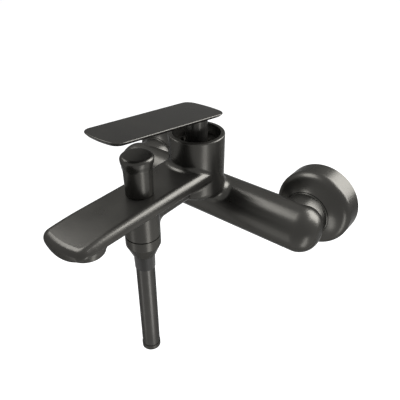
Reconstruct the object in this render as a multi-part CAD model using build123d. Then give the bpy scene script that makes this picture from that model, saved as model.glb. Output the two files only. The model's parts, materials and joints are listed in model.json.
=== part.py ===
from build123d import *
import math
import os

# Wall mounted single lever bath mixer with a pull-up diverter and a hand shower hose.
# Millimetres. X runs along the wall, Y into the wall, Z up. The wall face is Y = 0.
# Heights below are measured from the axis of the inlet bar. The finished pieces are
# raised by union_drop, so that the origin lies midway between the two wall studs.

# Inlets and bar
inlet_spacing = 150.0
inlet_x = inlet_spacing / 2
union_drop = 6.0
bar_radius = 17.6
bar_y = -44.7
bar_half_length = 95.5
bar_end_round = 15.0
bar_bore = 11.0
bar_bore_end = 84.0
bar_bore_wall = 4.0
inlet_boss_radius = 17.2
inlet_boss_back = -26.9
inlet_port_radius = 7.5

# Wall unions, nuts and escutcheons
half_inch_radius = 10.4775
three_quarter_radius = 13.2
thread_gap = 0.06
stud_length = 16.0
stud_relief_radius = 9.6
stud_thread_start = -1.0
union_front = -20.0
union_shoulder = -6.0
union_overlap = 2.0
union_front_bore = 8.5
union_stud_bore = 7.0
nipple_front = -36.0
nipple_flange_front = -24.0
nipple_flange_back = -22.0
nipple_flange_radius = 12.9
nut_radius = 17.5
nut_front = -26.6
nut_back = -11.0
nut_lip = 2.5
nut_hole = 11.2
nut_edge = 0.8
escutcheon_radius = 30.0
escutcheon_depth = 25.4
escutcheon_rim = 19.0
escutcheon_bow = 1.1
escutcheon_wall = 1.8
escutcheon_hole = 17.9
escutcheon_round = 7.5
strainer_height = 0.6
strainer_rows = 3
strainer_pitch = 2.0
strainer_hole = 0.65
grip_ring_outer = 21.0
grip_ring_front = -21.6
grip_ring_length = 2.8
grip_ring_seat = 2.0

# Tower and its cartridge bore
tower_radius = 20.6
tower_y = -63.5
tower_top = 59.7
tower_foot = 11.0
tower_foot_round = 8.0
tower_cove = 4.0
tower_bar_cove = 6.0
rim_round = 1.0
cartridge_bore = 17.2
cartridge_floor = 16.0
recess_radius = 17.6
recess_floor = 50.5
supply_port = (7.5, 10.5)
supply_port_radius = 3.0
mixed_port_y = -9.5
mixed_notch = (6.0, 2.2)

# Spout blade
spout_top = 37.8
spout_tip = -191.5
spout_root_half = 19.6
spout_half = 19.1
spout_waist_y = -126.0
spout_front_edge = 5.4
spout_root_edge = 6.3
spout_front_sag = 6.2
spout_root_sag = 12.6
spout_corner_round = 7.0
spout_corner_y = -188.4
nose_start = -160.0
nose_drop = 2.0
spout_top_round = 5.0
spout_under_round = 2.0
belly_radius = 9.0
belly_z = 20.2
belly_bore = 5.0
belly_cove = 8.0
spout_bore = 3.2
spout_bore_z = 32.4

# Diverter line, shared by the knob, the valve and the hose outlet
diverter_y = -123.6
outlet_boss_radius = 12.5
outlet_boss_end = 5.4
valve_chamber = 8.5
valve_floor = 12.0
valve_ceiling = 28.0
upper_chamber = 6.0
gland_thread = 6.5
gland_bottom = 33.5
gland_top = 48.0
gland_radius = 6.0
stem_radius = 2.5
stem_fit = 0.08
plunger_radius = 7.4
plunger_low = 13.0
plunger_high = 17.0
plunger_washer = 0.7
plunger_washer_radius = 7.0
gland_ring_z = 41.0
gland_ring_radius = 4.0
gland_ring_length = 2.0
spring_radius = 3.7
spring_wire = 0.9
spring_turns = 5
spring_seat_gap = 0.1
knob_foot = 38.4
knob_top = 66.0
knob_foot_radius = 9.3
knob_neck_radius = 9.7
knob_neck_z = 57.0
knob_cap_radius = 11.0
knob_cap_z = 63.2
knob_face_radius = 8.6
knob_shoulder = (10.4, 65.2)
knob_bore = 6.5
knob_bore_top = 54.0
knob_stem_top = 62.0

# Aerator under the tip
aerator_y = -171.5
aerator_boss_radius = 13.6
aerator_boss_end = 23.8
aerator_thread = 11.0
aerator_top = 31.0
aerator_rim_radius = 12.0
aerator_bottom = 19.2
aerator_wall = 1.4
aerator_grid_gap = 3.0
aerator_grid_bar = 0.9
aerator_washer_height = 1.4
aerator_washer_hole = 8.0
aerator_rim_round = 0.8
aerator_inset = 1.0
aerator_grid_height = 2.0

# Ceramic cartridge
housing_radius = 16.6
housing_inner = 15.0
housing_top = 45.0
housing_lid = 2.5
housing_hole = 11.6
base_height = 3.0
fixed_disc_radius = 14.6
fixed_disc_height = 3.4
moving_disc_radius = 8.8
moving_disc_height = 3.4
disc_film = 0.05
mixing_hollow = 6.0
carrier_radius = 9.3
carrier_height = 5.0
socket_radius = 3.9
rotor_low = 31.8
rotor_flange_top = 42.2
rotor_flange_radius = 14.7
rotor_hub_radius = 11.2
rotor_top = 47.0
rotor_slot = (8.5, 19.0)
pivot_z = 42.5
pivot_radius = 1.6
pivot_end_gap = 0.4
stem_side = 8.0
stem_top = 68.0
stem_shoulder = 37.5
stem_leg_radius = 2.8
stem_ball_radius = 3.0
stem_ball_z = 30.2
cartridge_nut_top = 50.4
cartridge_nut_hole = 13.4
cartridge_nut_notches = 6
cartridge_notch = (3.0, 3.0, 4.0)
base_ring_radius = 4.2
base_ring_height = 0.8

# Lever
lever_back = -50.0
lever_front = -154.6
lever_slope = 7.7
lever_axis_z = 76.6
lever_back_half = 17.4
lever_front_half = 15.4
lever_bulge = 2.5
lever_back_corner = 7.5
lever_front_corner = 8.0
lever_thickness = 2.6
lever_under_bevel = 1.9
lever_top_round = 0.5
lever_neck_radius = 8.0
lever_neck_bottom = 53.0
lever_neck_chamfer = 1.0
lever_neck_cove = 3.0
lever_socket_gap = 0.1
grub_z = 65.0
grub_radius = 2.5
grub_plug_radius = 3.2
grub_plug_depth = 1.5
grub_key_radius = 1.4
grub_key_depth = 1.2
plug_inset = 0.5

# Hand shower hose and its conical nut
outlet_nipple_bore = 6.4
outlet_nipple_thread = 9.4
outlet_nipple_collar = 12.0
outlet_nipple_collar_height = 0.8
outlet_nipple_end = -2.5
hose_nut_top = 4.4
hose_nut_radius = 12.5
hose_nut_shoulder = -2.8
hose_nut_end = -12.0
hose_nut_mouth = 7.97
hose_nut_lip = 8.5
hose_nut_round = 1.5
hose_washer_height = 1.6
hose_radius = 7.0
hose_bore = 4.6
hose_top = -5.7
hose_end = -107.5
hose_tail_flange = 9.8
hose_tail_flange_height = 1.4
hose_barb = 0.6
hose_tail_bore = 3.4
hose_tail_length = 20.0
hose_tail_barbs = 4
ferrule_top_radius = 7.9
ferrule_low_radius = 7.4
ferrule_low = -24.0
end_band_length = 4.0
end_band_radius = 7.35


def rod_x(radius, x0, x1, y, z):
    return Pos((x0 + x1) / 2, y, z) * Rot(0, 90, 0) * Cylinder(radius, abs(x1 - x0))


def rod_y(radius, y0, y1, x=0.0, z=0.0):
    return Pos(x, (y0 + y1) / 2, z) * Rot(90, 0, 0) * Cylinder(radius, abs(y1 - y0))


def rod_z(radius, z0, z1, y, x=0.0):
    return Pos(x, y, (z0 + z1) / 2) * Cylinder(radius, abs(z1 - z0))


def tube_y(outer, inner, y0, y1, x=0.0, z=0.0):
    return rod_y(outer, y0, y1, x, z) - rod_y(inner, y0, y1, x, z)


def tube_z(outer, inner, z0, z1, y):
    return rod_z(outer, z0, z1, y) - rod_z(inner, z0, z1, y)


def turned_z(points, y):
    """Solid of revolution about the upright axis at y, from (radius, height) points."""
    outline = Polyline(*[(r, 0, z) for r, z in points], close=True)
    return Pos(0, y, 0) * revolve(make_face(outline), Axis.Z)


def spout_section(y, half, edge, sag):
    """Cross section of the spout: flat top, thin edges, bowed underside."""
    low = spout_top - edge
    top = Polyline((-half, y, low), (-half, y, spout_top), (half, y, spout_top), (half, y, low))
    under = ThreePointArc((half, y, low), (0, y, low - sag), (-half, y, low))
    return make_face([top, under])


def spout_plan():
    """Seen from above: a slight waist, then straight sides and a bowed, round-cornered tip."""
    z = spout_top + 1
    right = Spline(
        (spout_root_half, tower_y, 0),
        (spout_half, spout_waist_y, 0),
        tangents=[(0, -1, 0), (0, -1, 0)],
    )
    left = mirror(right, Plane.YZ)
    sides = [
        right,
        left,
        Line((spout_half, spout_waist_y, 0), (spout_half, spout_corner_y, 0)),
        Line((-spout_half, spout_waist_y, 0), (-spout_half, spout_corner_y, 0)),
        ThreePointArc((spout_half, spout_corner_y, 0), (0, spout_tip, 0), (-spout_half, spout_corner_y, 0)),
        Line((spout_root_half, tower_y, 0), (-spout_root_half, tower_y, 0)),
    ]
    face = make_face(sides)
    corners = face.vertices().sort_by(Axis.Y)[0:2]
    return extrude(fillet(corners, spout_corner_round), z)


def spout_side():
    """Seen from the side: level top that rolls down over the nose."""
    top = spout_top
    nose = (0, spout_tip, top - nose_drop)
    return extrude(
        make_face(
            [
                Line((0, tower_y, top), (0, nose_start, top)),
                TangentArc((0, nose_start, top), nose, tangent=(0, -1, 0)),
                Polyline(nose, (0, spout_tip, 0), (0, tower_y, 0), (0, tower_y, top)),
            ]
        ),
        2 * spout_root_half,
        dir=(1, 0, 0),
        both=True,
    )


def spout_blade():
    sections = [
        spout_section(spout_tip - 1, spout_root_half + 1, spout_front_edge, spout_front_sag),
        spout_section(tower_y, spout_root_half + 1, spout_root_edge, spout_root_sag),
    ]
    return loft(sections, ruled=True) & spout_plan() & spout_side()


def rounded_spout():
    """The spout blade with a round top edge, and an eased lower edge at the tip."""
    blade = spout_blade()
    lowest = spout_top - nose_drop - 1
    edges = blade.edges().filter_by(lambda e: e.bounding_box().min.Z > lowest)
    along = edges.filter_by(lambda e: e.geom_type != GeomType.LINE or e.bounding_box().size.Y > 1)
    blade = fillet(along, spout_top_round)
    front = blade.edges().filter_by(lambda e: e.bounding_box().max.Y < spout_corner_y + spout_corner_round)
    low = front.filter_by(lambda e: e.bounding_box().max.Z < spout_top - spout_front_edge)
    return fillet(low, spout_under_round)


def tower_and_bar():
    """Upright tower standing in front of the round-ended inlet bar, joined by a cove."""
    bar = rod_x(bar_radius, -bar_half_length, bar_half_length, bar_y, 0)
    bar = fillet(bar.edges().filter_by(GeomType.CIRCLE), bar_end_round)
    tower = rod_z(tower_radius, tower_foot, tower_top, tower_y)
    tower = fillet(tower.edges().sort_by(Axis.Z)[0], tower_foot_round)
    joined = tower + bar
    seams = joined.edges().filter_by(GeomType.BSPLINE)
    joined = fillet(seams, tower_bar_cove)
    for side in (-1, 1):
        joined += rod_y(inlet_boss_radius, bar_y, inlet_boss_back, side * inlet_x)
    return joined


def body_outside():
    body = tower_and_bar() + rounded_spout()
    rings = body.edges().filter_by(GeomType.CIRCLE)
    level = rings.filter_by(lambda e: abs(e.center().Z - spout_top) < 0.1 and e.bounding_box().size.Z < 0.1)
    body = fillet(level.sort_by(Axis.Y)[0], tower_cove)
    under = spout_top - spout_root_edge
    belly = rod_y(belly_radius, tower_y, diverter_y, 0, belly_z)
    boss = rod_z(outlet_boss_radius, outlet_boss_end, under, diverter_y)
    nozzle = rod_z(aerator_boss_radius, aerator_boss_end, under, aerator_y)
    pipe = belly + boss
    pipe = fillet(pipe.edges().filter_by(GeomType.BSPLINE), belly_cove)
    body = body + pipe + nozzle
    rim = body.edges().filter_by(GeomType.CIRCLE).sort_by(Axis.Z)[-1]
    return fillet(rim, rim_round)


def inlet_waterway(side):
    """One arm of the bar, from the wall side nipple to the port under the cartridge."""
    x = side * inlet_x
    way = rod_x(bar_bore, side * bar_bore_wall, side * bar_bore_end, bar_y, 0)
    way += rod_y(inlet_port_radius, bar_y, nipple_front, x)
    way += rod_y(half_inch_radius, nipple_front, inlet_boss_back + 1, x)
    port_x, port_y = side * supply_port[0], tower_y + supply_port[1]
    return way + rod_z(supply_port_radius, 0, cartridge_floor, port_y, port_x)


def body_bores():
    """The cartridge chamber, the way to the diverter, and the outlets to hose and aerator."""
    return [
        rod_z(cartridge_bore, cartridge_floor, tower_top, tower_y),
        rod_z(recess_radius, recess_floor, tower_top + 1, tower_y),
        rod_y(belly_bore, diverter_y, tower_y - cartridge_bore, 0, belly_z),
        rod_z(valve_chamber, valve_floor, valve_ceiling, diverter_y),
        rod_z(outlet_nipple_thread + thread_gap, outlet_boss_end, valve_floor, diverter_y),
        rod_z(upper_chamber, valve_ceiling, gland_bottom, diverter_y),
        rod_z(gland_thread + thread_gap, gland_bottom, spout_top + 1, diverter_y),
        rod_y(spout_bore, aerator_y, diverter_y, 0, spout_bore_z),
        rod_z(aerator_thread + thread_gap, aerator_boss_end, aerator_top, aerator_y),
    ]


def body_casting():
    body = body_outside()
    for bore in [inlet_waterway(-1), inlet_waterway(1)] + body_bores():
        body -= bore
    return body


def inlet_nipple(x):
    thread = half_inch_radius - thread_gap
    tube = rod_y(thread, nipple_front, nipple_flange_back, x)
    tube += rod_y(nipple_flange_radius, nipple_flange_front, nipple_flange_back, x)
    return tube - rod_y(inlet_port_radius, nipple_front, nipple_flange_back, x)


def union_nut(x):
    nut = rod_y(nut_radius, nut_front, nut_back, x)
    nut = chamfer(nut.edges().filter_by(GeomType.CIRCLE), nut_edge)
    nut -= rod_y(nut_hole, nut_front, nut_back, x)
    return nut - rod_y(three_quarter_radius + thread_gap, nut_front + nut_lip, nut_back, x)


def filter_washer(x):
    """Rubber ring that carries a thin inlet strainer across its hole."""
    ring = tube_y(nipple_flange_radius, inlet_port_radius, nipple_flange_back, union_front, x)
    middle = (nipple_flange_back + union_front) / 2
    strainer = rod_y(inlet_port_radius, middle - strainer_height / 2, middle + strainer_height / 2, x)
    for row in range(-strainer_rows, strainer_rows + 1):
        for column in range(-strainer_rows, strainer_rows + 1):
            across, up = row * strainer_pitch, column * strainer_pitch
            if math.hypot(across, up) < inlet_port_radius - strainer_pitch / 2:
                strainer -= rod_y(strainer_hole, nipple_flange_back, union_front, x + across, up)
    return ring + strainer


def eccentric_union(x):
    """Threaded both ends. The wall end is set lower than the nut end."""
    solid = rod_y(three_quarter_radius, union_front, union_shoulder + union_overlap, x)
    solid += rod_y(stud_relief_radius, union_shoulder, stud_thread_start, x, -union_drop)
    solid += rod_y(half_inch_radius, stud_thread_start, stud_length, x, -union_drop)
    solid -= rod_y(union_front_bore, union_front, union_shoulder + union_overlap / 2, x)
    return solid - rod_y(union_stud_bore, union_shoulder, stud_length, x, -union_drop)


def escutcheon(x):
    """Bell shaped wall plate: a straight rim, then a flare that rises to the nut."""
    inner = escutcheon_radius - escutcheon_wall
    pocket = grip_ring_outer + thread_gap
    rim = (escutcheon_radius, -escutcheon_rim, 0)
    crown = (escutcheon_hole, -escutcheon_depth, 0)
    middle = ((rim[0] + crown[0]) / 2 - escutcheon_bow / 2, (rim[1] + crown[1]) / 2 + escutcheon_bow, 0)
    outside = ThreePointArc(rim, middle, crown)
    inside = Polyline(
        crown,
        (escutcheon_hole, grip_ring_front, 0),
        (pocket, grip_ring_front, 0),
        (pocket, grip_ring_front + grip_ring_seat, 0),
        (inner, escutcheon_wall - escutcheon_rim, 0),
        (inner, 0, 0),
        (escutcheon_radius, 0, 0),
        rim,
    )
    bell = revolve(make_face([outside, inside]), Axis.Y)
    edge = bell.edges().filter_by(lambda e: abs(e.center().Y + escutcheon_rim) < 0.1)
    return Pos(x, 0, 0) * fillet(edge.sort_by(SortBy.LENGTH)[-1], escutcheon_round)


def escutcheon_grip_ring(x):
    back = grip_ring_front + grip_ring_length
    return tube_y(grip_ring_outer, nut_radius + thread_gap, grip_ring_front, back, x)


def supply_ports():
    """Hot and cold ports of the cartridge, seen from above."""
    return [(side * supply_port[0], tower_y + supply_port[1]) for side in (-1, 1)]


def cartridge_base():
    """Sealed ports below, and a notch in front that lets the mixed water out sideways."""
    high = cartridge_floor + base_height
    base = rod_z(housing_radius, cartridge_floor, high, tower_y)
    for x, y in supply_ports():
        base -= rod_z(base_ring_radius, cartridge_floor, cartridge_floor + base_ring_height, y, x)
        base -= rod_z(supply_port_radius, cartridge_floor, high, y, x)
    width, depth = mixed_notch
    back = tower_y + mixed_port_y
    front = tower_y - housing_radius
    return base - Pos(0, (back + front) / 2, high - depth / 2) * Box(width, back - front, depth)


def base_seals():
    """Two rubber rings in the underside of the cartridge, one round each port."""
    high = cartridge_floor + base_ring_height
    rings = []
    for x, y in supply_ports():
        ring = rod_z(base_ring_radius, cartridge_floor, high, y, x)
        rings.append(ring - rod_z(supply_port_radius, cartridge_floor, high, y, x))
    return rings[0] + rings[1]


def fixed_disc():
    low = cartridge_floor + base_height
    disc = rod_z(fixed_disc_radius, low, low + fixed_disc_height, tower_y)
    for x, y in supply_ports() + [(0.0, tower_y + mixed_port_y)]:
        disc -= rod_z(supply_port_radius, low, low + fixed_disc_height, y, x)
    return disc


def disc_face():
    return cartridge_floor + base_height + fixed_disc_height


def moving_disc():
    low = disc_face() + disc_film
    disc = rod_z(moving_disc_radius, low, low + moving_disc_height, tower_y)
    return disc - rod_z(mixing_hollow, low, low + moving_disc_height / 2, tower_y)


def disc_carrier():
    low = disc_face() + disc_film + moving_disc_height
    carrier = rod_z(carrier_radius, low, low + carrier_height, tower_y)
    return carrier - rod_z(socket_radius, low + 1, low + carrier_height, tower_y)


def cartridge_housing():
    low = cartridge_floor + base_height
    shell = rod_z(housing_radius, low, housing_top, tower_y)
    shell -= rod_z(housing_inner, low, housing_top - housing_lid, tower_y)
    return shell - rod_z(housing_hole, low, housing_top, tower_y)


def cartridge_rotor():
    rotor = rod_z(rotor_flange_radius, rotor_low, rotor_flange_top, tower_y)
    rotor += rod_z(rotor_hub_radius, rotor_low, rotor_top, tower_y)
    width, length = rotor_slot
    rotor -= Pos(0, tower_y, (rotor_low + rotor_top) / 2) * Box(width, length, rotor_top - rotor_low)
    return rotor - rod_x(pivot_radius + thread_gap, -rotor_hub_radius, rotor_hub_radius, tower_y, pivot_z)


def stem_pivot_pin():
    reach = rotor_hub_radius - pivot_end_gap
    return rod_x(pivot_radius, -reach, reach, tower_y, pivot_z)


def cartridge_stem():
    """Square upper stem, round leg and a ball that pushes the disc carrier."""
    height = stem_top - stem_shoulder
    stem = Pos(0, tower_y, stem_shoulder + height / 2) * Box(stem_side, stem_side, height)
    stem += rod_z(stem_leg_radius, stem_ball_z, stem_shoulder, tower_y)
    stem += Pos(0, tower_y, stem_ball_z) * Sphere(stem_ball_radius)
    stem -= rod_x(pivot_radius + thread_gap, -stem_side, stem_side, tower_y, pivot_z)
    return stem


def cartridge_nut():
    nut = tube_z(cartridge_bore - thread_gap, cartridge_nut_hole, housing_top, cartridge_nut_top, tower_y)
    for step in range(cartridge_nut_notches):
        turn = Rot(0, 0, step * 360 / cartridge_nut_notches)
        notch = Pos(cartridge_nut_hole, 0, cartridge_nut_top) * Box(*cartridge_notch)
        nut -= Pos(0, tower_y, 0) * turn * notch
    return nut


def lever_plan():
    """Plate outline seen from above, in the plate's own plane, measured from the tower axis."""
    back = lever_back - tower_y
    front = lever_front - tower_y
    back_corner = back - lever_bulge
    front_corner = front + lever_bulge
    face = make_face(
        [
            ThreePointArc((lever_back_half, back_corner), (0, back), (-lever_back_half, back_corner)),
            Line((-lever_back_half, back_corner), (-lever_front_half, front_corner)),
            ThreePointArc((-lever_front_half, front_corner), (0, front), (lever_front_half, front_corner)),
            Line((lever_front_half, front_corner), (lever_back_half, back_corner)),
        ]
    )
    corners = face.vertices().sort_by(Axis.Y)
    face = fillet(corners[0:2], lever_front_corner)
    return fillet(face.vertices().sort_by(Axis.Y)[-2:], lever_back_corner)


def lever_plate():
    """Thin tongue-shaped plate, bevelled underneath, rising towards the front."""
    plate = extrude(lever_plan(), -lever_thickness)
    under = plate.faces().sort_by(Axis.Z)[0]
    plate = chamfer(under.edges(), lever_under_bevel)
    top = plate.faces().sort_by(Axis.Z)[-1]
    plate = fillet(top.edges(), lever_top_round)
    return Pos(0, tower_y, lever_axis_z) * Rot(-lever_slope, 0, 0) * plate


def lever_handle():
    plate = lever_plate()
    reach = lever_axis_z - lever_thickness / 2
    neck = rod_z(lever_neck_radius, lever_neck_bottom, reach, tower_y)
    neck = chamfer(neck.edges().filter_by(GeomType.CIRCLE).sort_by(Axis.Z)[0], lever_neck_chamfer)
    handle = plate + neck
    ring = handle.edges().filter_by(GeomType.ELLIPSE)
    handle = fillet(ring, lever_neck_cove)
    side = stem_side + 2 * lever_socket_gap
    depth = stem_top + lever_socket_gap - lever_neck_bottom
    handle -= Pos(0, tower_y, lever_neck_bottom + depth / 2) * Box(side, side, depth)
    back = tower_y + lever_neck_radius
    handle -= rod_y(grub_radius + thread_gap, tower_y, back, 0, grub_z)
    return handle - rod_y(grub_plug_radius + thread_gap, back - grub_plug_depth, back, 0, grub_z)


def lever_grub_screw():
    front = tower_y + stem_side / 2 + lever_socket_gap
    back = tower_y + lever_neck_radius - grub_plug_depth
    screw = rod_y(grub_radius, front, back, 0, grub_z)
    key = Pos(0, back, grub_z) * Rot(90, 0, 0) * extrude(RegularPolygon(grub_key_radius, 6), grub_key_depth)
    return screw - key


def grub_screw_plug():
    back = tower_y + lever_neck_radius
    return rod_y(grub_plug_radius, back - grub_plug_depth, back - plug_inset, 0, grub_z)


def diverter_knob():
    """Mushroom-shaped pull knob with a hollow shaft that hides the gland."""
    profile = [
        Line((knob_foot_radius, knob_foot), (knob_neck_radius, knob_neck_z)),
        Spline(
            (knob_neck_radius, knob_neck_z),
            (knob_cap_radius, knob_cap_z),
            tangents=[(0.1, 1), (0, 1)],
        ),
        ThreePointArc((knob_cap_radius, knob_cap_z), knob_shoulder, (knob_face_radius, knob_top)),
        Polyline(
            (knob_face_radius, knob_top),
            (0, knob_top),
            (0, knob_bore_top),
            (knob_bore, knob_bore_top),
            (knob_bore, knob_foot),
            (knob_foot_radius, knob_foot),
        ),
    ]
    knob = revolve(Plane.XZ * make_face(profile), Axis.Z)
    knob = Pos(0, diverter_y, 0) * knob
    return knob - rod_z(stem_radius + thread_gap, knob_bore_top, knob_stem_top, diverter_y)


def diverter_gland():
    gland = rod_z(gland_thread, gland_bottom, spout_top, diverter_y)
    gland += rod_z(gland_radius, spout_top, gland_top, diverter_y)
    gland -= rod_z(stem_radius + stem_fit, gland_bottom, gland_top, diverter_y)
    half = gland_ring_length / 2
    return gland - rod_z(gland_ring_radius, gland_ring_z - half, gland_ring_z + half, diverter_y)


def gland_ring():
    half = gland_ring_length / 2
    inner = stem_radius + stem_fit
    return tube_z(gland_ring_radius, inner, gland_ring_z - half, gland_ring_z + half, diverter_y)


def diverter_stem():
    return rod_z(stem_radius, plunger_low - plunger_washer, knob_stem_top, diverter_y)


def diverter_plunger():
    return tube_z(plunger_radius, stem_radius + thread_gap, plunger_low, plunger_high, diverter_y)


def plunger_washers():
    """Rubber faces above and below the plunger, one for each seat."""
    inner = stem_radius + thread_gap
    low = tube_z(plunger_washer_radius, inner, plunger_low - plunger_washer, plunger_low, diverter_y)
    high = tube_z(plunger_washer_radius, inner, plunger_high, plunger_high + plunger_washer, diverter_y)
    return low + high


def spring_ends():
    """Heights of the wire's middle at both ends of the coil."""
    seat = spring_wire / 2 + spring_seat_gap
    return plunger_high + plunger_washer + seat, gland_bottom - seat


def spring_pitch():
    low, high = spring_ends()
    return (high - low) / spring_turns


def spring_point(turn):
    """Point and direction of travel on the coil, turn counted from the bottom."""
    angle = 2 * math.pi * turn
    height = spring_ends()[0] + spring_pitch() * turn
    point = Vector(spring_radius * math.cos(angle), spring_radius * math.sin(angle), height)
    climb = spring_pitch() / (2 * math.pi)
    heading = Vector(-spring_radius * math.sin(angle), spring_radius * math.cos(angle), climb).normalized()
    return point, heading


def biarc(start, start_heading, end, end_heading):
    """Two tangent arcs from start to end that keep both headings."""
    chord = end - start
    both = start_heading + end_heading
    bend = 2 * (1 - start_heading.dot(end_heading))
    along = chord.dot(both)
    reach = (math.sqrt(along * along + bend * chord.dot(chord)) - along) / bend
    middle = (start + end + (start_heading - end_heading) * reach) * 0.5
    first = TangentArc(start, middle, tangent=start_heading)
    second = TangentArc(middle, end, tangent=first % 1)
    return [first, second]


def diverter_spring():
    """Return spring round the diverter stem, one wire wound as quarter-turn arcs."""
    arcs = []
    for quarter in range(4 * spring_turns):
        start, start_heading = spring_point(quarter / 4)
        end, end_heading = spring_point((quarter + 1) / 4)
        arcs += biarc(start, start_heading, end, end_heading)
    path = Wire(arcs)
    start, heading = spring_point(0)
    wire = sweep(Plane(origin=start, z_dir=heading) * Circle(spring_wire / 2), path=path)
    return Pos(0, diverter_y, 0) * wire


def aerator_housing():
    ring = rod_z(aerator_thread, aerator_boss_end, aerator_top - aerator_washer_height, aerator_y)
    ring += rod_z(aerator_rim_radius, aerator_bottom, aerator_boss_end, aerator_y)
    rim = ring.edges().filter_by(GeomType.CIRCLE).sort_by(Axis.Z)[0]
    ring = fillet(rim, aerator_rim_round)
    inner = aerator_thread - aerator_wall
    return ring - rod_z(inner, aerator_bottom, aerator_top, aerator_y)


def aerator_insert():
    """Plastic jet former: a ring with a square grid across it."""
    outer = aerator_thread - aerator_wall - thread_gap
    low, high = aerator_bottom + aerator_inset, aerator_top - aerator_washer_height
    insert = tube_z(outer, outer - aerator_wall, low, high, aerator_y)
    disc = rod_z(outer - aerator_wall / 2, low, low + aerator_grid_height, aerator_y)
    steps = int(outer / aerator_grid_gap)
    for row in range(-steps, steps + 1):
        for column in range(-steps, steps + 1):
            x, y = row * aerator_grid_gap, column * aerator_grid_gap
            if math.hypot(x, y) < outer - aerator_wall - aerator_grid_gap / 2:
                hole = aerator_grid_gap - aerator_grid_bar
                disc -= Pos(x, aerator_y + y, low) * Box(hole, hole, 3 * aerator_grid_height)
    return insert + disc


def aerator_washer():
    low = aerator_top - aerator_washer_height
    return tube_z(aerator_thread, aerator_washer_hole, low, aerator_top, aerator_y)


def outlet_nipple():
    """Threaded stub under the spout. Its upper rim is the lower seat of the diverter."""
    collar_low = outlet_boss_end - outlet_nipple_collar_height
    stub = rod_z(outlet_nipple_thread, outlet_boss_end, valve_floor, diverter_y)
    stub += rod_z(outlet_nipple_collar, collar_low, outlet_boss_end, diverter_y)
    stub += rod_z(half_inch_radius, outlet_nipple_end, collar_low, diverter_y)
    return stub - rod_z(outlet_nipple_bore, outlet_nipple_end, valve_floor, diverter_y)


def hose_tail_seat():
    """Height of the ledge inside the hose nut that pulls the hose tail up."""
    return outlet_nipple_end - hose_washer_height - hose_tail_flange_height


def hose_nut():
    """Round nut with a conical lower half that closes on the hose."""
    solid = turned_z(
        [
            (0, hose_nut_top),
            (hose_nut_radius, hose_nut_top),
            (hose_nut_radius, hose_nut_shoulder),
            (hose_nut_lip, hose_nut_end),
            (0, hose_nut_end),
        ],
        diverter_y,
    )
    solid = fillet(solid.edges().filter_by(GeomType.CIRCLE).sort_by(Axis.Z)[-2], hose_nut_round)
    thread = half_inch_radius + thread_gap
    solid -= rod_z(thread, hose_tail_seat(), hose_nut_top, diverter_y)
    return solid - rod_z(hose_nut_mouth, hose_nut_end, hose_tail_seat(), diverter_y)


def hose_washer():
    low = outlet_nipple_end - hose_washer_height
    return tube_z(hose_tail_flange, outlet_nipple_bore, low, outlet_nipple_end, diverter_y)


def hose_tail():
    """Flanged brass tail with barbs that hold the hose."""
    high = outlet_nipple_end - hose_washer_height
    seat = hose_tail_seat()
    tail = rod_z(hose_tail_flange, seat, high, diverter_y)
    pitch = hose_tail_length / hose_tail_barbs
    for barb in range(hose_tail_barbs):
        top = seat - barb * pitch
        tail += turned_z(
            [
                (0, top),
                (hose_bore - thread_gap, top),
                (hose_bore - hose_barb, top - pitch),
                (0, top - pitch),
            ],
            diverter_y,
        )
    return tail - rod_z(hose_tail_bore, seat - hose_tail_length, high, diverter_y)


def hose_ferrule():
    """Tapered metal sleeve crimped over the end of the hose."""
    inner = hose_radius + thread_gap
    return turned_z(
        [
            (inner, hose_top),
            (ferrule_top_radius, hose_top),
            (ferrule_low_radius, ferrule_low),
            (inner, ferrule_low),
        ],
        diverter_y,
    )


def hose():
    """Smooth hand shower hose, hanging straight down."""
    return tube_z(hose_radius, hose_bore, hose_end, hose_top, diverter_y)


def hose_end_band():
    """Crimped band that finishes the free end of the hose."""
    inner = hose_radius + thread_gap
    return tube_z(end_band_radius, inner, hose_end, hose_end + end_band_length, diverter_y)


pieces = {
    "body_casting": body_casting(),
    "cartridge_base": cartridge_base(),
    "cartridge_base_seals": base_seals(),
    "ceramic_disc_fixed": fixed_disc(),
    "ceramic_disc_moving": moving_disc(),
    "disc_carrier": disc_carrier(),
    "cartridge_housing": cartridge_housing(),
    "cartridge_rotor": cartridge_rotor(),
    "stem_pivot_pin": stem_pivot_pin(),
    "cartridge_stem": cartridge_stem(),
    "cartridge_nut": cartridge_nut(),
    "lever_handle": lever_handle(),
    "lever_grub_screw": lever_grub_screw(),
    "grub_screw_plug": grub_screw_plug(),
    "diverter_knob": diverter_knob(),
    "diverter_gland": diverter_gland(),
    "diverter_gland_ring": gland_ring(),
    "diverter_stem": diverter_stem(),
    "diverter_plunger": diverter_plunger(),
    "diverter_plunger_washers": plunger_washers(),
    "diverter_spring": diverter_spring(),
    "aerator_housing": aerator_housing(),
    "aerator_insert": aerator_insert(),
    "aerator_washer": aerator_washer(),
    "hose_outlet_nipple": outlet_nipple(),
    "hose_nut": hose_nut(),
    "hose_washer": hose_washer(),
    "hose_tail": hose_tail(),
    "hose_ferrule": hose_ferrule(),
    "hose": hose(),
    "hose_end_band": hose_end_band(),
}
for side, x in (("left", -inlet_x), ("right", inlet_x)):
    pieces[f"inlet_nipple_{side}"] = inlet_nipple(x)
    pieces[f"union_nut_{side}"] = union_nut(x)
    pieces[f"filter_washer_{side}"] = filter_washer(x)
    pieces[f"eccentric_union_{side}"] = eccentric_union(x)
    pieces[f"escutcheon_{side}"] = escutcheon(x)
    pieces[f"escutcheon_grip_ring_{side}"] = escutcheon_grip_ring(x)

os.makedirs("parts", exist_ok=True)
for name, solid in pieces.items():
    export_step(Pos(0, 0, union_drop) * solid, f"parts/{name}.step")
    print(name, solid.is_valid, round(solid.volume, 1))

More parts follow.
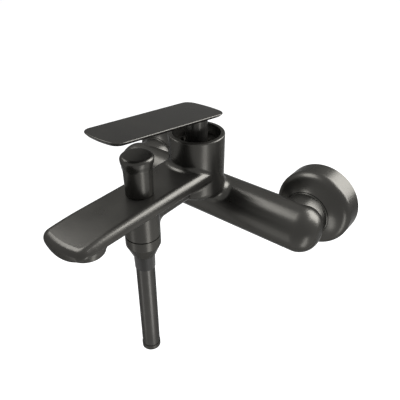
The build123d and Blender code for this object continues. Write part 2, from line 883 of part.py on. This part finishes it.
hose_made = pieces["hose"].volume
hose_section = math.pi * (hose_radius**2 - hose_bore**2)
hose_expected = hose_section * (hose_top - hose_end)
print("hose volume", round(hose_made, 1), "section x length", round(hose_expected, 1))
wire_made = pieces["diverter_spring"].volume
wire_length = spring_turns * math.hypot(2 * math.pi * spring_radius, spring_pitch())
wire_expected = math.pi * spring_wire**2 / 4 * wire_length
print("spring volume", round(wire_made, 1), "section x length", round(wire_expected, 1))
print("spring gap between turns", round(spring_pitch() - spring_wire, 2))
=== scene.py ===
# %% [markdown]
# # A wall mounted bath mixer in satin gunmetal
#
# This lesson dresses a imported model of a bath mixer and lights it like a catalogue
# photo. The solids already have their true shapes, so most of the work is the surface:
# what each piece is made of, how it was finished, and what light shows of that. Three
# kinds of piece are made here, because a plain rigid solid can't show them: the flexible
# hose, the spring that is squeezed when the diverter is pulled, and the screw threads of
# the wall unions.

import json
import math

import bmesh
import bpy
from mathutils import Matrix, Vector


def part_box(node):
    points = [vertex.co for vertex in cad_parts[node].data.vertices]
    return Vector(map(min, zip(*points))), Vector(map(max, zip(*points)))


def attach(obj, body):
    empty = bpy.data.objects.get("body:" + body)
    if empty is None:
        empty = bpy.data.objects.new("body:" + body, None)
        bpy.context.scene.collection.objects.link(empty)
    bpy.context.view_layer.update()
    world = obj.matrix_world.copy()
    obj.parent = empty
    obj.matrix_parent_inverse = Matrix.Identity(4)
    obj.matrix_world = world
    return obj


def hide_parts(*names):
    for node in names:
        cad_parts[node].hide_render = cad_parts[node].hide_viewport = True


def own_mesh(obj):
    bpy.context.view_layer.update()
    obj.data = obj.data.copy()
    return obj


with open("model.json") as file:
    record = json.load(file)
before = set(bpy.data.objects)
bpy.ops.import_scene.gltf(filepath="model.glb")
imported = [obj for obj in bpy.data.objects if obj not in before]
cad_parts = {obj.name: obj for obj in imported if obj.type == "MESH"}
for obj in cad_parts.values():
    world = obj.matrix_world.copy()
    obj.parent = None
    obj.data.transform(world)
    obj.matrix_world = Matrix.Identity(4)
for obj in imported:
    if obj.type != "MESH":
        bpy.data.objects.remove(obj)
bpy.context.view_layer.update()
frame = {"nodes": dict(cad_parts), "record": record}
nodes = frame["nodes"]


# %% [markdown]
# ## Camera
#
# The photograph looks down on the mixer from the front right. The place and the lens
# follow from the object: with the two inlets 150 mm apart, only one camera puts the
# inlets, the spout and the lever where the picture has them. It stands about 0.4 m away,
# which is close, so the hose narrows visibly towards its lower end.

# %% Camera
scene = bpy.context.scene
scene.view_settings.view_transform = "Standard"


def put(name, data):
    """A new object at the origin."""
    thing = bpy.data.objects.new(name, data)
    scene.collection.objects.link(thing)
    return thing


looks_down, turned_left = 32.99, 38.26
camera = put("camera", bpy.data.cameras.new("camera"))
camera.location = (0.1965, -0.3086, 0.2114)
camera.rotation_euler = (math.radians(90 - looks_down), 0, math.radians(turned_left))
camera.data.lens = 43.17
camera.data.sensor_width = 36
camera.data.clip_start = 0.01
scene.camera = camera
print("camera", round(camera.location.length, 3), "m from the wall inlets")

# %% [markdown]
# ## Colours and nodes
#
# Colours are written as sRGB hex values, the way a paint chart gives them. Blender's
# shaders work in linear light, so one function converts them. A second small function
# adds a node, sets its options and links its inputs, which keeps every material short.
# Textures use object coordinates, which are metres here, so a texture's scale follows
# from a real size in millimetres.


# %% Colour and node helpers
def linear(hex_colour):
    channels = [int(hex_colour[i : i + 2], 16) / 255 for i in (1, 3, 5)]
    return [c / 12.92 if c <= 0.04045 else ((c + 0.055) / 1.055) ** 2.4 for c in channels] + [1.0]


def add_node(tree, kind, settings=None, inputs=None):
    node = tree.nodes.new(kind)
    for name, value in (settings or {}).items():
        setattr(node, name, value)
    for name, value in (inputs or {}).items():
        if isinstance(value, bpy.types.NodeSocket):
            tree.links.new(value, node.inputs[name])
        else:
            node.inputs[name].default_value = value
    return node


def sockets(material):
    return material.node_tree.nodes["Principled BSDF"].inputs


def noise_scale(size):
    """Scale of a noise texture whose blotches are about this many millimetres long."""
    return 1000 / size


def band_scale(distance):
    """Scale of a wave texture whose straight bands repeat after these millimetres."""
    return math.pi / 10 * 1000 / distance


print("linear mid grey", round(linear("#808080")[0], 3))

# %% [markdown]
# ## One recipe for a surface
#
# Every finish on the mixer has the same parts: a colour and a gloss that drift a little
# from place to place, and a fine relief from the way the surface was made. What differs
# is the size of the drift and the kind of relief: blasting and moulding leave grain, a
# lathe leaves rings. So one function wires the parts together, and each material below
# only picks its textures and its numbers.


# %% Surface recipe
def finish(name, colours, drift, roughness, relief, depth, metallic=0.0):
    """colours and roughness are (low, high), drift and depth are millimetres, and relief is
    the texture that makes the surface uneven: (kind of node, settings, inputs)."""
    material = bpy.data.materials.new(name)
    material.use_nodes = True
    tree = material.node_tree
    shader = sockets(material)
    place = add_node(tree, "ShaderNodeTexCoord").outputs["Object"]
    patches = add_node(
        tree, "ShaderNodeTexNoise", None, {"Vector": place, "Scale": noise_scale(drift), "Detail": 3.0}
    ).outputs["Fac"]
    tint = add_node(
        tree,
        "ShaderNodeMix",
        {"data_type": "RGBA"},
        {"Factor": patches, "A": linear(colours[0]), "B": linear(colours[1])},
    )
    gloss = add_node(
        tree,
        "ShaderNodeMapRange",
        None,
        {"Value": patches, "From Min": 0.3, "From Max": 0.7, "To Min": roughness[0], "To Max": roughness[1]},
    )
    kind, settings, inputs = relief
    height = add_node(tree, kind, settings, {"Vector": place, **inputs}).outputs["Fac"]
    bump = add_node(tree, "ShaderNodeBump", None, {"Height": height, "Distance": depth / 1000})
    tree.links.new(tint.outputs["Result"], shader["Base Color"])
    tree.links.new(gloss.outputs["Result"], shader["Roughness"])
    tree.links.new(bump.outputs["Normal"], shader["Normal"])
    shader["Metallic"].default_value = metallic
    return material


def grain(size):
    return "ShaderNodeTexNoise", None, {"Scale": noise_scale(size), "Detail": 2.0}


def rings(distance, axis):
    inputs = {"Scale": band_scale(distance), "Distortion": 0.4}
    return "ShaderNodeTexWave", {"bands_direction": axis}, inputs


print("one recipe, two kinds of relief")

# %% [markdown]
# ## Satin gunmetal coating
#
# The visible pieces are cast brass, blasted to a satin surface and coated with a thin
# dark metal film. Nearly all the light that leaves it is mirrored, so metallic is 0.8 and
# the base colour is the dark grey of that mirror; the rest is the little that the blasted
# film scatters. A bare metal turns white where it is seen at a low angle. This film stays
# dark there, so the specular tint, which is the colour of those edges, is a mid grey. The
# coating could be a dark plastic with a clear coat, but then the highlights would stay
# white and hard, where the real ones are grey and soft. Blasting leaves a grain of about
# a third of a millimetre, too fine for this picture size, so it is drawn at 0.7 mm.

# %% Satin gunmetal
film_edge = linear("#959594")
gunmetal = finish(
    "satin_gunmetal_on_brass",
    colours=("#373634", "#3d3c39"),  # dark, almost neutral, a touch warm
    drift=18,
    roughness=(0.27, 0.34),  # satin: highlights are broad, edges of reflections are lost
    relief=grain(0.7),
    depth=0.004,
    metallic=0.8,
)
sockets(gunmetal)["Specular Tint"].default_value = film_edge
print("made", gunmetal.name)

# %% [markdown]
# ## Smooth hose cover
#
# The hose is the smooth kind: a metal-coloured layer is wound round the inner tube and
# covered with a clear PVC skin. The eye sees a dark metal under a glossy film, so the
# colour comes from a metallic base and the film is a clear coat. The winding shows
# through as faint rings; a real one has a turn every 2 mm or so.

# %% Hose cover
hose_cover = finish(
    "smooth_pvc_hose_cover",
    colours=("#353432", "#3d3c3a"),  # grey, as dark as the coated brass
    drift=9,
    roughness=(0.3, 0.38),
    relief=rings(2.2, "Z"),
    depth=0.006,
    metallic=1.0,
)
skin = sockets(hose_cover)
skin["Specular Tint"].default_value = film_edge
skin["Coat Weight"].default_value = 0.15
skin["Coat Roughness"].default_value = 0.12
print("made", hose_cover.name)

# %% [markdown]
# ## Turned brass, steel and zinc
#
# Behind the wall plates and inside the body the metal is bare. Brass pieces come off a
# lathe, which leaves fine rings round the axis; the feed is about 0.2 mm a turn, drawn
# here at 0.6 mm so that it shows. The unions and nipples lie along Y, and the valve
# pieces stand along Z, so there are two brasses. Steel pins, springs and screws are drawn
# or rolled, and the stem that carries the lever is a zinc die casting.

# %% Bare metals
brass = {
    axis: finish(
        "turned_brass_" + axis.lower(),
        colours=("#b5944f", "#cbb06c"),  # yellow metal, duller where it was handled
        drift=7,
        roughness=(0.24, 0.38),
        relief=rings(0.6, axis),
        depth=0.006,
        metallic=1.0,
    )
    for axis in ("Y", "Z")
}
steel = finish(
    "drawn_stainless_steel", ("#9c9b98", "#aeadaa"), 5, (0.2, 0.3), grain(0.5), 0.002, metallic=1.0
)  # bright, slightly streaky
zinc = finish(
    "die_cast_zinc", ("#7f8284", "#92959a"), 6, (0.38, 0.5), grain(1.1), 0.008, metallic=1.0
)  # grey, with the mottle of a casting
print("made", brass["Y"].name, brass["Z"].name, steel.name, zinc.name)

# %% [markdown]
# ## Ceramic, plastic and rubber
#
# Water is shut off by two discs of alumina, lapped so flat that they seal against each
# other: hard, off-white, with a dull shine. The cartridge and the aerator insert are
# moulded acetal, milky white with an even fine texture. The plug over the grub screw and
# the sleeve at the top of the hose are black ABS from a blasted mould, so they are matt
# and mirror less than a polished plastic would. The washers and seals are EPDM rubber,
# nearly black and without shine.

# %% Ceramic, plastic and rubber
ceramic = finish("lapped_alumina", ("#e6e2d8", "#efece4"), 4, (0.18, 0.26), grain(0.8), 0.001)
sockets(ceramic)["IOR"].default_value = 1.77
acetal = finish("moulded_acetal_white", ("#d6d5cf", "#e1e0db"), 8, (0.38, 0.48), grain(0.9), 0.004)
black_abs = finish("moulded_abs_black", ("#1b1a19", "#242321"), 6, (0.48, 0.58), grain(0.8), 0.004)
sockets(black_abs)["Specular IOR Level"].default_value = 0.25
rubber = finish("epdm_rubber", ("#131313", "#1e1d1c"), 5, (0.62, 0.76), grain(0.6), 0.012)
print("made", ceramic.name, acetal.name, black_abs.name, rubber.name)

# %% [markdown]
# ## Dressing the solids
#
# The record says which material slot each solid belongs to, so the finishes are handed
# out by slot. Only brass needs a second look: the pieces in the wall lie along Y.

# %% Hand out the materials
by_slot = {
    "gunmetal_coated_metal": gunmetal,
    "stainless_steel": steel,
    "zinc_alloy": zinc,
    "alumina_ceramic": ceramic,
    "white_plastic": acetal,
    "dark_plastic": black_abs,
    "rubber": rubber,
    "hose_cover": hose_cover,
}


def dress(mesh, material):
    mesh.materials.clear()
    mesh.materials.append(material)


for part in frame["record"]["subparts"]:
    name, slot = part["node"], part["material_slot"]
    if slot == "brass":
        in_wall = name.startswith(("inlet_nipple", "eccentric_union"))
        dress(nodes[name].data, brass["Y" if in_wall else "Z"])
    else:
        dress(nodes[name].data, by_slot[slot])
print("dressed", len(nodes), "solids")

# %% [markdown]
# ## The hose
#
# The hose hangs straight down from its conical nut and ends in a crimped band. It is a
# flexible tube, so it is a curve: a NURBS spline through the route's points, given a
# round bevel. A mesh cylinder would look the same here, but only a curve can be bent
# later by moving four points. A Solidify modifier gives it the wall of a real tube, so
# the open end shows the bore.

# %% Hose
hose_line = -0.1236
hose_route = [(0, hose_line, height) for height in (-0.006, -0.036, -0.068, -0.1015)]
hose_diameter = 0.014
hose_wall = 0.0024
hose_curve = bpy.data.curves.new("hose_tube", "CURVE")
hose_curve.dimensions = "3D"
spline = hose_curve.splines.new("NURBS")
spline.points.add(len(hose_route) - 1)
for point, place in zip(spline.points, hose_route):
    point.co = (*place, 1)
spline.order_u = 3
spline.use_endpoint_u = True
hose_curve.bevel_depth = hose_diameter / 2
hose_curve.bevel_resolution = 14
hose_tube = put("hose_tube", hose_curve)
dress(hose_curve, hose_cover)
wall = hose_tube.modifiers.new("tube_wall", "SOLIDIFY")
wall.thickness = hose_wall
wall.offset = -1
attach(hose_tube, "faucet_body")
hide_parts("hose")

# %% [markdown]
# ## The diverter's return spring
#
# Inside the spout a steel spring pushes the diverter back down when the water stops. It is
# squeezed while the knob is up, which a rigid solid can't show, so it is wound again here:
# points on a helix, a round bevel for the wire, and the curve turned into a mesh, because
# only a mesh can be squeezed. Its upper end stays where it is, under the gland.


# %% Return spring
def as_mesh(thing):
    """What a curve or an object with modifiers looks like, as a plain mesh."""
    return bpy.data.meshes.new_from_object(thing.evaluated_get(bpy.context.evaluated_depsgraph_get()))


spring_low, spring_high = (corner[2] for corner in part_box("diverter_spring"))
spring_length = spring_high - spring_low
spring_radius, spring_wire, spring_turns = 0.0037, 0.0009, 5
points_per_turn = 36
point_count = spring_turns * points_per_turn
climb = (spring_length - spring_wire) / point_count
winding = bpy.data.curves.new("winding", "CURVE")
winding.dimensions = "3D"
coil = winding.splines.new("POLY")
coil.points.add(point_count)
for number, point in enumerate(coil.points):
    turn = 2 * math.pi * number / points_per_turn
    across, out = spring_radius * math.cos(turn), spring_radius * math.sin(turn)
    point.co = (across, hose_line + out, spring_low + spring_wire / 2 + climb * number, 1)
winding.bevel_depth = spring_wire / 2
winding.bevel_resolution = 3
winding.use_fill_caps = True
wound = put("winding", winding)
spring = put("return_spring", as_mesh(wound))
bpy.data.objects.remove(wound)
dress(spring.data, steel)
spring.data.shade_smooth()
spring.data.set_sharp_from_angle(angle=math.radians(50))
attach(spring, "faucet_body")
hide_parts("diverter_spring")
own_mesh(spring)

# %% [markdown]
# ## Threads on the wall unions
#
# Each union is an eccentric: a three quarter inch thread for the nut in front, and a half
# inch thread, set 6 mm lower, that screws into the wall. Pipe threads have 14 turns to
# the inch and a rounded V section. A bump texture would give the stripes but leave the
# outline smooth, so the thread is real mesh: rings of points round the axis, whose radius
# goes up and down with the turn of the screw.

# %% Thread rings
pitch = 0.0254 / 14
thread_depth = 0.64 * pitch
rows_per_turn = 10
steps = 72


def plain(along, radius):
    return along, [radius] * steps


def threaded(start, end, radius):
    """Rows of a screw thread along Y, chamfered at its free end."""
    count = round((end - start) / pitch * rows_per_turn)
    for row in range(count + 1):
        along = start + (end - start) * row / count
        crest = min(radius, radius - thread_depth + (end - along))
        waves = [abs(2 * ((along / pitch - step / steps) % 1) - 1) for step in range(steps)]
        dips = [min(1, max(0, 1.3 * wave - 0.15)) for wave in waves]
        yield along, [min(crest, radius - thread_depth * dip) for dip in dips]


def turned(name, x, z, rows):
    """A closed solid whose rows of points lie round a line along Y."""
    bm = bmesh.new()
    turns = [2 * math.pi * step / steps for step in range(steps)]
    loops = [
        [bm.verts.new((x + r * math.sin(t), along, z + r * math.cos(t))) for r, t in zip(radii, turns)]
        for along, radii in rows
    ]
    for low, high in zip(loops, loops[1:]):
        for i in range(steps):
            j = (i + 1) % steps
            bm.faces.new((low[i], low[j], high[j], high[i]))
    bm.faces.new(loops[0])
    bm.faces.new(loops[-1])
    bmesh.ops.recalc_face_normals(bm, faces=bm.faces)
    mesh = bpy.data.meshes.new(name)
    bm.to_mesh(mesh)
    bm.free()
    return put(name, mesh)


print("pitch", round(pitch * 1000, 3), "mm, depth", round(thread_depth * 1000, 3), "mm")

# %% [markdown]
# The two threaded ends overlap by 2 mm and their bores meet off centre, so the piece is
# joined and bored with Boolean modifiers, the way the real one is drilled after turning.

# %% Wall unions
nut_thread, nut_start, nut_end, nut_bore = 0.0132, -0.02, -0.004, 0.0085
stud_thread, stud_start, stud_end, stud_bore = 0.0104775, -0.001, 0.016, 0.007
stud_neck, neck_start, eccentric = 0.0096, -0.006, 0.006
front_bore_end, past_the_end = -0.005, 0.001
inlet_places = {"left": -0.075, "right": 0.075}


def bore(x, z, start, end, radius):
    return turned("drill", x, z, [plain(start, radius), plain(end, radius)])


for side, x in inlet_places.items():
    union = turned("threaded_union_" + side, x, eccentric, threaded(nut_start, nut_end, nut_thread))
    neck = [plain(neck_start, stud_neck), plain(stud_start, stud_neck)]
    stud = turned("stud", x, 0, [*neck, *threaded(stud_start, stud_end, stud_thread)])
    front_drill = bore(x, eccentric, nut_start - past_the_end, front_bore_end, nut_bore)
    wall_drill = bore(x, 0, neck_start, stud_end + past_the_end, stud_bore)
    for tool, operation in ((stud, "UNION"), (front_drill, "DIFFERENCE"), (wall_drill, "DIFFERENCE")):
        cut = union.modifiers.new(operation.lower(), "BOOLEAN")
        cut.object, cut.operation, cut.solver = tool, operation, "MANIFOLD"
    mesh = as_mesh(union)
    union.modifiers.clear()
    union.data = mesh
    for tool in (stud, front_drill, wall_drill):
        bpy.data.objects.remove(tool)
    dress(mesh, brass["Y"])
    mesh.shade_smooth()
    mesh.set_sharp_from_angle(angle=math.radians(40))
    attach(union, "faucet_body")
    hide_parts("eccentric_union_" + side)
    print("made", union.name, "with", len(mesh.polygons), "faces")

# %% [markdown]
# ## Light
#
# A dark metal is seen by what it mirrors, so the lamps are placed by the surfaces that
# should catch them. A wide softbox overhead on the left lights the round top of the bar
# and the nose of the spout. One behind on the right draws the bright line along the
# spout's edge. Two narrow and weaker ones below, right and left, give the upright pieces
# their two soft streaks, because seen from above an upright cylinder mirrors what lies
# below it. Their strength is a radiance, in units of the white of the studio.

# %% Softboxes
lit_point = Vector((0, -0.09, 0.02))


def softbox(name, azimuth, elevation, distance, size, radiance):
    """An area lamp that faces the mixer. Azimuth 0 is in front of it and 90 on its right."""
    a, e = math.radians(azimuth), math.radians(elevation)
    away = Vector((math.sin(a) * math.cos(e), -math.cos(a) * math.cos(e), math.sin(e)))
    lamp = put(name, bpy.data.lights.new(name, "AREA"))
    lamp.location = lit_point + away * distance
    lamp.rotation_euler = (-away).to_track_quat("-Z", "Y").to_euler()
    lamp.data.shape = "RECTANGLE"
    lamp.data.size, lamp.data.size_y = size
    lamp.data.energy = radiance * math.pi * size[0] * size[1]
    lamp.visible_camera = False


softbox("softbox_overhead_left", -78, 57, 1.2, (0.84, 0.66), 9.0)
softbox("softbox_behind_right", 150, 26, 1.3, (1.0, 1.1), 15.5)
softbox("softbox_low_right", 76, -34, 0.55, (0.16, 0.4), 5.0)
softbox("softbox_low_left", -18, -34, 0.55, (0.1, 0.36), 2.0)

# %% [markdown]
# ## Studio
#
# Seen by the camera, or mirrored in metal, the walls of the studio are plain white; as a
# source of light they are weaker, so the softboxes keep their shape. The floor is a wide
# sheet of pale grey paper, well below the mixer, which hangs in the air as it would on a
# wall. White paper under these lamps would glare twice as bright as the walls and light
# up every underside. Grey paper with a glow of its own is white to the camera as far as
# the eye reaches, and it still takes the soft shadow of the mixer.

# %% Walls
white = (1, 1, 1, 1)
walls_as_light, walls_as_seen = 0.5, 1.0
world = bpy.data.worlds.new("white_studio")
scene.world = world
world.use_nodes = True


def seen_directly(tree):
    """1 for rays from the camera and for mirrored or refracted rays, 0 for diffuse light."""
    path = add_node(tree, "ShaderNodeLightPath").outputs
    seen = path["Is Camera Ray"]
    for kind in ("Is Glossy Ray", "Is Transmission Ray"):
        seen = add_node(tree, "ShaderNodeMath", {"operation": "MAXIMUM"}, {0: seen, 1: path[kind]}).outputs[0]
    return seen


tree = world.node_tree
walls = tree.nodes["Background"].inputs
walls["Color"].default_value = white
level = add_node(
    tree,
    "ShaderNodeMapRange",
    None,
    {"Value": seen_directly(tree), "To Min": walls_as_light, "To Max": walls_as_seen},
)
tree.links.new(level.outputs["Result"], walls["Strength"])
print("made", world.name)

# %% Floor
reach, drop, glow = 6.0, -0.6, 0.82
floor_mesh = bpy.data.meshes.new("floor")
corners = [(-reach, -reach, drop), (reach, -reach, drop), (reach, reach, drop), (-reach, reach, drop)]
floor_mesh.from_pydata(corners, [], [(0, 1, 2, 3)])
floor = put("floor", floor_mesh)
paper = finish("pale_studio_paper", ("#8c8c8c", "#949494"), 40, (0.8, 0.9), grain(3), 0.05)
tree = paper.node_tree
shader = sockets(paper)
shader["Emission Color"].default_value = white
shine = add_node(tree, "ShaderNodeMath", {"operation": "MULTIPLY"}, {0: seen_directly(tree), 1: glow})
tree.links.new(shine.outputs[0], shader["Emission Strength"])
dress(floor_mesh, paper)
print("floor", drop, "m below the inlets")
